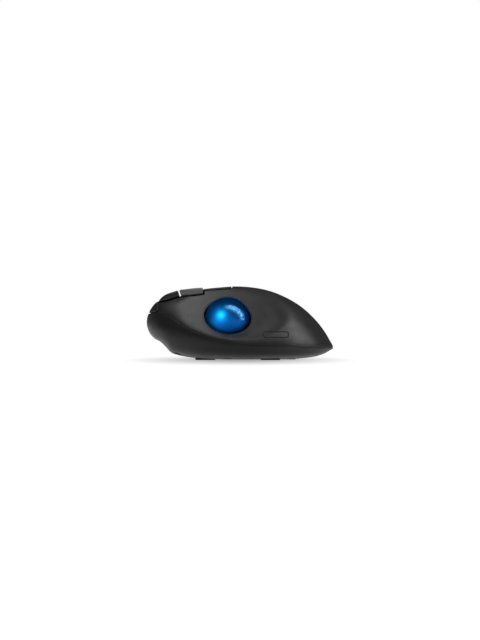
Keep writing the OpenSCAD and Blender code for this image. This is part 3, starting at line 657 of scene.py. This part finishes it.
PIECES = [(base, "case", "base_shell", "base_plastic"), (top, "case", "top_shell", "shell_plastic"),
          (left, "left_button", "left_button", "button_plastic"),
          (right, "right_button", "right_button", "button_plastic"),
          (strip, "case", "center_strip", "gloss_trim"), (badge, "case", "badge_plate", "badge_plastic"),
          (forward, "forward_button", "forward_button", "forward_plastic"),
          (back, "back_button", "back_button", "back_plastic")]
for piece, carrier, node, finish in PIECES:
    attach(piece, carrier)
    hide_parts(node)


# ---- Materials ----
def new_material(name):
    mat = bpy.data.materials.new(name)
    mat.use_nodes = True
    shader = mat.node_tree.nodes["Principled BSDF"]
    return mat, mat.node_tree.nodes, mat.node_tree.links, shader


def noise(nodes, links, scale, detail=3.0, kind="ShaderNodeTexNoise"):
    coords = nodes.new("ShaderNodeTexCoord")
    tex = nodes.new(kind)
    tex.inputs["Scale"].default_value = scale
    if "Detail" in tex.inputs:
        tex.inputs["Detail"].default_value = detail
    links.new(coords.outputs["Object"], tex.inputs["Vector"])
    return tex


def ramp(nodes, links, source, low, high):
    """Maps a value from 0.3..0.7, where noise lies, to low..high."""
    node = nodes.new("ShaderNodeMapRange")
    node.inputs["From Min"].default_value = 0.3
    node.inputs["From Max"].default_value = 0.7
    node.inputs["To Min"].default_value = low
    node.inputs["To Max"].default_value = high
    links.new(source, node.inputs["Value"])
    return node.outputs["Result"]


def mix_colour(nodes, links, factor, a, b):
    node = nodes.new("ShaderNodeMix")
    node.data_type = "RGBA"
    links.new(factor, node.inputs["Factor"])
    node.inputs[6].default_value = (*a, 1)
    node.inputs[7].default_value = (*b, 1)
    return node.outputs[2]


def bump(nodes, links, height, strength, distance, shader):
    node = nodes.new("ShaderNodeBump")
    node.inputs["Strength"].default_value = strength
    node.inputs["Distance"].default_value = distance
    links.new(height, node.inputs["Height"])
    links.new(node.outputs["Normal"], shader.inputs["Normal"])


def tinted(colour, by):
    return tuple(c * by for c in colour)


def surface(name, colour, roughness, spread=0.06, grain=2200.0, depth=0.25, metallic=0.0, specular=0.5,
            coat=0.0, wear=0.0, vary=0.12):
    """Moulded or machined surface: fine grain bump, uneven tone and gloss, and lighter worn edges."""
    mat, nodes, links, shader = new_material(name)
    shader.inputs["Metallic"].default_value = metallic
    shader.inputs["Specular IOR Level"].default_value = specular
    shader.inputs["Coat Weight"].default_value = coat
    shader.inputs["Coat Roughness"].default_value = 0.08
    cloud = noise(nodes, links, 55.0)
    tone = ramp(nodes, links, cloud.outputs["Fac"], 0.0, 1.0)
    shade = mix_colour(nodes, links, tone, tinted(colour, 1 - vary), tinted(colour, 1 + vary))
    if wear:
        edge = nodes.new("ShaderNodeAttribute")
        edge.attribute_name = "edge"
        patches = noise(nodes, links, 400.0)
        worn = nodes.new("ShaderNodeMath")
        worn.operation = "MULTIPLY"
        links.new(edge.outputs["Fac"], worn.inputs[0])
        links.new(ramp(nodes, links, patches.outputs["Fac"], 0.2 * wear, wear), worn.inputs[1])
        lighter = nodes.new("ShaderNodeMix")
        lighter.data_type = "RGBA"
        links.new(worn.outputs["Value"], lighter.inputs["Factor"])
        links.new(shade, lighter.inputs[6])
        lighter.inputs[7].default_value = (*tinted(colour, 3.0), 1)
        shade = lighter.outputs[2]
    links.new(shade, shader.inputs["Base Color"])
    smudge = noise(nodes, links, 130.0, 4.0)
    links.new(ramp(nodes, links, smudge.outputs["Fac"], roughness - spread, roughness + spread),
              shader.inputs["Roughness"])
    fine = noise(nodes, links, grain, 2.0)
    bump(nodes, links, fine.outputs["Fac"], depth, 0.00006, shader)
    return mat


def pearl_material():
    """Metallic flake under the clear coat of the ball."""
    mat, nodes, links, shader = new_material("pearl_blue")
    shader.inputs["Metallic"].default_value = 1.0
    shader.inputs["Specular Tint"].default_value = (0.01, 0.06, 0.4, 1)
    swirl = noise(nodes, links, 90.0, 5.0)
    tone = ramp(nodes, links, swirl.outputs["Fac"], 0.0, 1.0)
    links.new(mix_colour(nodes, links, tone, (0.005, 0.12, 0.48), (0.008, 0.15, 0.56)),
              shader.inputs["Base Color"])
    links.new(ramp(nodes, links, swirl.outputs["Fac"], 0.42, 0.47), shader.inputs["Roughness"])
    flake = noise(nodes, links, 3500.0, kind="ShaderNodeTexVoronoi")
    bump(nodes, links, flake.outputs["Distance"], 0.12, 0.00004, shader)
    return mat


def clear_material(name, tint, roughness, gloss_tint, gloss_share):
    """A clear skin: what is behind it shows through, and it adds an even share of gloss."""
    mat = bpy.data.materials.new(name)
    mat.use_nodes = True
    nodes, links = mat.node_tree.nodes, mat.node_tree.links
    nodes.remove(nodes["Principled BSDF"])
    through = nodes.new("ShaderNodeBsdfTransparent")
    through.inputs["Color"].default_value = (*tint, 1)
    gloss = nodes.new("ShaderNodeBsdfGlossy")
    gloss.inputs["Color"].default_value = (*gloss_tint, 1)
    scuffs = noise(nodes, links, 300.0, 6.0)
    links.new(ramp(nodes, links, scuffs.outputs["Fac"], roughness * 0.6, roughness * 1.4),
              gloss.inputs["Roughness"])
    mix = nodes.new("ShaderNodeMixShader")
    mix.inputs["Fac"].default_value = gloss_share
    links.new(through.outputs["BSDF"], mix.inputs[1])
    links.new(gloss.outputs["BSDF"], mix.inputs[2])
    links.new(mix.outputs["Shader"], nodes["Material Output"].inputs["Surface"])
    return mat


def paint(obj, mat):
    obj.data.materials.clear()
    obj.data.materials.append(mat)


FINISHES = {
    "base_plastic": surface("matte_base", (0.013, 0.013, 0.013), 0.44, specular=0.42, wear=0.25),
    "shell_plastic": surface("satin_shell", (0.014, 0.014, 0.014), 0.38, wear=0.25),
    "button_plastic": surface("satin_button", (0.014, 0.014, 0.014), 0.38, wear=0.3),
    "forward_plastic": surface("forward_black", (0.006, 0.006, 0.006), 0.42, wear=0.3),
    "back_plastic": surface("back_grey", (0.14, 0.14, 0.14), 0.40, wear=0.3),
    "gloss_trim": surface("gloss_trim", (0.008, 0.008, 0.009), 0.2, depth=0.05, coat=0.6, wear=0.2),
    "badge_plastic": surface("badge_black", (0.014, 0.014, 0.014), 0.38, wear=0.3),
    "socket_plastic": surface("socket_black", (0.010, 0.010, 0.011), 0.4, depth=0.1),
    "inner_plastic": surface("inner_black", (0.015, 0.015, 0.016), 0.5),
    "switch_plastic": surface("switch_black", (0.03, 0.03, 0.032), 0.45),
    "hub_plastic": surface("hub_grey", (0.05, 0.05, 0.055), 0.35, depth=0.1),
    "slider_plastic": surface("slider_grey", (0.30, 0.30, 0.31), 0.45),
    "pairing_plastic": surface("pairing_blue", (0.03, 0.10, 0.42), 0.4),
    "clear_plastic": clear_material("clear_plastic", (0.92, 0.95, 0.95), 0.08, (1, 1, 1), 0.08),
    "ball_clear": clear_material("clear_coat", (0.80, 0.95, 1.0), 0.2, (0.13, 0.5, 1.0), 0.012),
    "ball_pearl": pearl_material(),
    "bearing_ceramic": surface("bearing_white", (0.75, 0.73, 0.68), 0.2, depth=0.02, vary=0.03),
    "tyre_rubber": surface("tyre_rubber", (0.012, 0.012, 0.012), 0.75, grain=1500.0, depth=0.4),
    "foot_rubber": surface("foot_rubber", (0.018, 0.018, 0.018), 0.6, grain=900.0, depth=0.3),
    "steel": surface("steel", (0.55, 0.55, 0.56), 0.3, metallic=1.0, depth=0.05, vary=0.06),
    "contact_metal": surface("nickel_contact", (0.62, 0.60, 0.55), 0.25, metallic=1.0, depth=0.05),
    "receiver_metal": surface("receiver_metal", (0.60, 0.60, 0.62), 0.28, metallic=1.0, depth=0.05),
    "circuit_board": surface("circuit_board", (0.01, 0.10, 0.04), 0.35, depth=0.15, coat=0.3),
    "chip": surface("chip_black", (0.015, 0.015, 0.016), 0.5),
    "ribbon": surface("ribbon", (0.45, 0.20, 0.05), 0.35, depth=0.05),
    "battery_sleeve": surface("battery_sleeve", (0.12, 0.12, 0.13), 0.3, depth=0.03, coat=0.3),
}

for piece, carrier, node, finish in PIECES:
    paint(piece, FINISHES[finish])
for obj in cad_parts.values():
    paint(obj, FINISHES[obj.data.materials[0].name])

# The clear coat of the ball is bonded to the core, so only its outer face shows
bpy.ops.mesh.primitive_ico_sphere_add(subdivisions=7, radius=BALL_R * MM, location=Vector(BALL_AT * MM))
ball = bpy.context.object
ball.name = "ball_clear_coat"
ball.data.polygons.foreach_set("use_smooth", [True] * len(ball.data.polygons))
paint(ball, FINISHES["ball_clear"])
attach(ball, "ball_outer")
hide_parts("ball_coat")


# ---- Studio ----
# The arc of light on the ball: disks that overlap, from over the ball to its tail side
ARC_LIGHTS = 9
ARC_DISTANCE = 0.8
ARC_WIDTH = 0.36
ARC_POWER = 14.0
ARC_START, ARC_SWEEP = -6.0, 105.0
ARC_TOWARD, ARC_FALL = 0.48, 0.4
ARC_DIM = 0.35
GLOW_FROM = (-0.78, 0.53, 0.34)
GLOW_DISTANCE = 0.6
GLOW_WIDTH = 0.30
GLOW_COLOUR = (0.4, 1.0, 0.65)
GLOW_POWER = 5.4
FILL_FROM = (-0.8, 0, 0.2)
FILL_WIDTH = 1.0
FILL_POWER = 0.5
# Lights of the shells: name, place, aim, width, height and power
SHELL_LIGHTS = [
    ("overhead", (0.1, -0.15, 1.1), (0, 0, 0), 1.3, 1.3, 0.8),
    ("low_front", (-0.03, 0.040, 0.15), (-0.03, 0.033, 0), 0.10, 0.07, 0.044),
    ("rear_side", (-0.28, -0.73, 0.80), (0, -0.02, 0.02), 0.8, 1.2, 8.0)]
SKY_STRENGTH = 0.07
FLOOR_SIZE = 8
# Painted shade on the floor: its emission runs from FLOOR_NEAR under the object to FLOOR_FAR away from it,
# across an ellipse with these radii in metres
FLOOR_NEAR, FLOOR_FAR = 0.36, 1.0
FLOOR_PAINTED_SHADE = (0.5, 0.105)


def area_light(name, at, aim, width, height, power, shape="RECTANGLE"):
    data = bpy.data.lights.new(name, "AREA")
    data.shape = shape
    data.size, data.size_y, data.energy = width, height, power
    light = bpy.data.objects.new(name, data)
    bpy.context.scene.collection.objects.link(light)
    light.location = at
    light.rotation_mode = "QUATERNION"
    light.rotation_quaternion = (Vector(aim) - Vector(at)).to_track_quat("-Z", "Y")
    light.visible_camera = False
    return light


def only_on(light, receivers, state):
    """Light linking: the light reaches only these objects, or all but them."""
    group = bpy.data.collections.new(light.name + "_receivers")
    for obj in receivers:
        group.objects.link(obj)
    for entry in group.collection_objects:
        entry.light_linking.link_state = state
    light.light_linking.receiver_collection = group


def arc_light(i):
    """One disk of the arc, which stays out of the light that the ball throws on the shells."""
    share = (i + 0.5) / ARC_LIGHTS
    swing = math.radians(ARC_START + ARC_SWEEP * share)
    toward = ARC_TOWARD - ARC_FALL * share**2
    aside = math.sqrt(1 - toward**2)
    at = ball_at + ARC_DISTANCE * Vector((-toward, -aside * math.sin(swing), aside * math.cos(swing)))
    power = ARC_POWER * (ARC_DIM + (1 - ARC_DIM) * math.sin(math.pi * share))
    light = area_light(f"arc_{i}", at, ball_at, ARC_WIDTH, ARC_WIDTH, power, "DISK")
    light.data.cycles.max_bounces = 0
    return light


def painted_shade_floor():
    """A pale floor with painted shade: its own light is dim under the object and fades up away from it, a
    painted soft shadow pool rather than one cast by the lamps.
    """
    mat, nodes, links, shader = new_material("pale_floor_painted_shade")
    shader.inputs["Base Color"].default_value = (0.8, 0.8, 0.8, 1)
    shader.inputs["Roughness"].default_value = 0.9
    shader.inputs["Emission Color"].default_value = (1, 1, 1, 1)
    spot = nodes.new("ShaderNodeTexCoord")
    stretch = nodes.new("ShaderNodeMapping")
    stretch.inputs["Scale"].default_value = (1 / FLOOR_PAINTED_SHADE[0], 1 / FLOOR_PAINTED_SHADE[1], 0)
    links.new(spot.outputs["Object"], stretch.inputs["Vector"])
    reach = nodes.new("ShaderNodeVectorMath")
    reach.operation = "LENGTH"
    links.new(stretch.outputs["Vector"], reach.inputs[0])
    fade = nodes.new("ShaderNodeMapRange")
    fade.interpolation_type = "SMOOTHSTEP"
    fade.inputs["To Min"].default_value = FLOOR_NEAR
    fade.inputs["To Max"].default_value = FLOOR_FAR
    links.new(reach.outputs["Value"], fade.inputs["Value"])
    links.new(fade.outputs["Result"], shader.inputs["Emission Strength"])
    return mat


bpy.ops.mesh.primitive_plane_add(size=FLOOR_SIZE, location=(0, 0, 0))
floor = bpy.context.object
floor.name = "floor"
paint(floor, painted_shade_floor())

ball_at = Vector(BALL_AT * MM)
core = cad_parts["ball_core"]
for i in range(ARC_LIGHTS):
    only_on(arc_light(i), [ball], "INCLUDE")
glow_at = ball_at + GLOW_DISTANCE * Vector(GLOW_FROM).normalized()
glow = area_light("glow", glow_at, ball_at, GLOW_WIDTH, GLOW_WIDTH, GLOW_POWER, "DISK")
glow.data.color = GLOW_COLOUR
only_on(glow, [core], "INCLUDE")
fill_at = ball_at + Vector(FILL_FROM)
fill = area_light("ball_fill", fill_at, ball_at, FILL_WIDTH, FILL_WIDTH, FILL_POWER)
only_on(fill, [core], "INCLUDE")
# The shell lights leave out the floor, whose shade under the object is painted by its emission instead
for spec in SHELL_LIGHTS:
    only_on(area_light(*spec), [core, ball, floor], "EXCLUDE")

world = bpy.data.worlds.new("studio")
bpy.context.scene.world = world
world.use_nodes = True
nodes, link = world.node_tree.nodes, world.node_tree.links.new
sky, backdrop = nodes["Background"], nodes.new("ShaderNodeBackground")
sky.inputs["Color"].default_value = (1, 1, 1, 1)
sky.inputs["Strength"].default_value = SKY_STRENGTH
backdrop.inputs["Color"].default_value = (1, 1, 1, 1)
backdrop.inputs["Strength"].default_value = 1.0
ray = nodes.new("ShaderNodeLightPath")
choose = nodes.new("ShaderNodeMixShader")
link(ray.outputs["Is Camera Ray"], choose.inputs["Fac"])
link(sky.outputs["Background"], choose.inputs[1])
link(backdrop.outputs["Background"], choose.inputs[2])
link(choose.outputs["Shader"], nodes["World Output"].inputs["Surface"])

bpy.context.scene.view_settings.view_transform = "Standard"

# ---- Camera at the photograph's angle: level, from the left side ----
CAM_DISTANCE = 3.0
FRAME_WIDTH = 0.3502
EYE_HEIGHT = 0.029
cam_data = bpy.data.cameras.new("camera")
cam_data.sensor_fit = "HORIZONTAL"
cam_data.sensor_width = 36.0
cam_data.lens = 36.0 * CAM_DISTANCE / FRAME_WIDTH
camera = bpy.data.objects.new("camera", cam_data)
bpy.context.scene.collection.objects.link(camera)
camera.location = (-CAM_DISTANCE, 0, EYE_HEIGHT)
camera.rotation_euler = (math.radians(90), 0, math.radians(-90))
bpy.context.scene.camera = camera
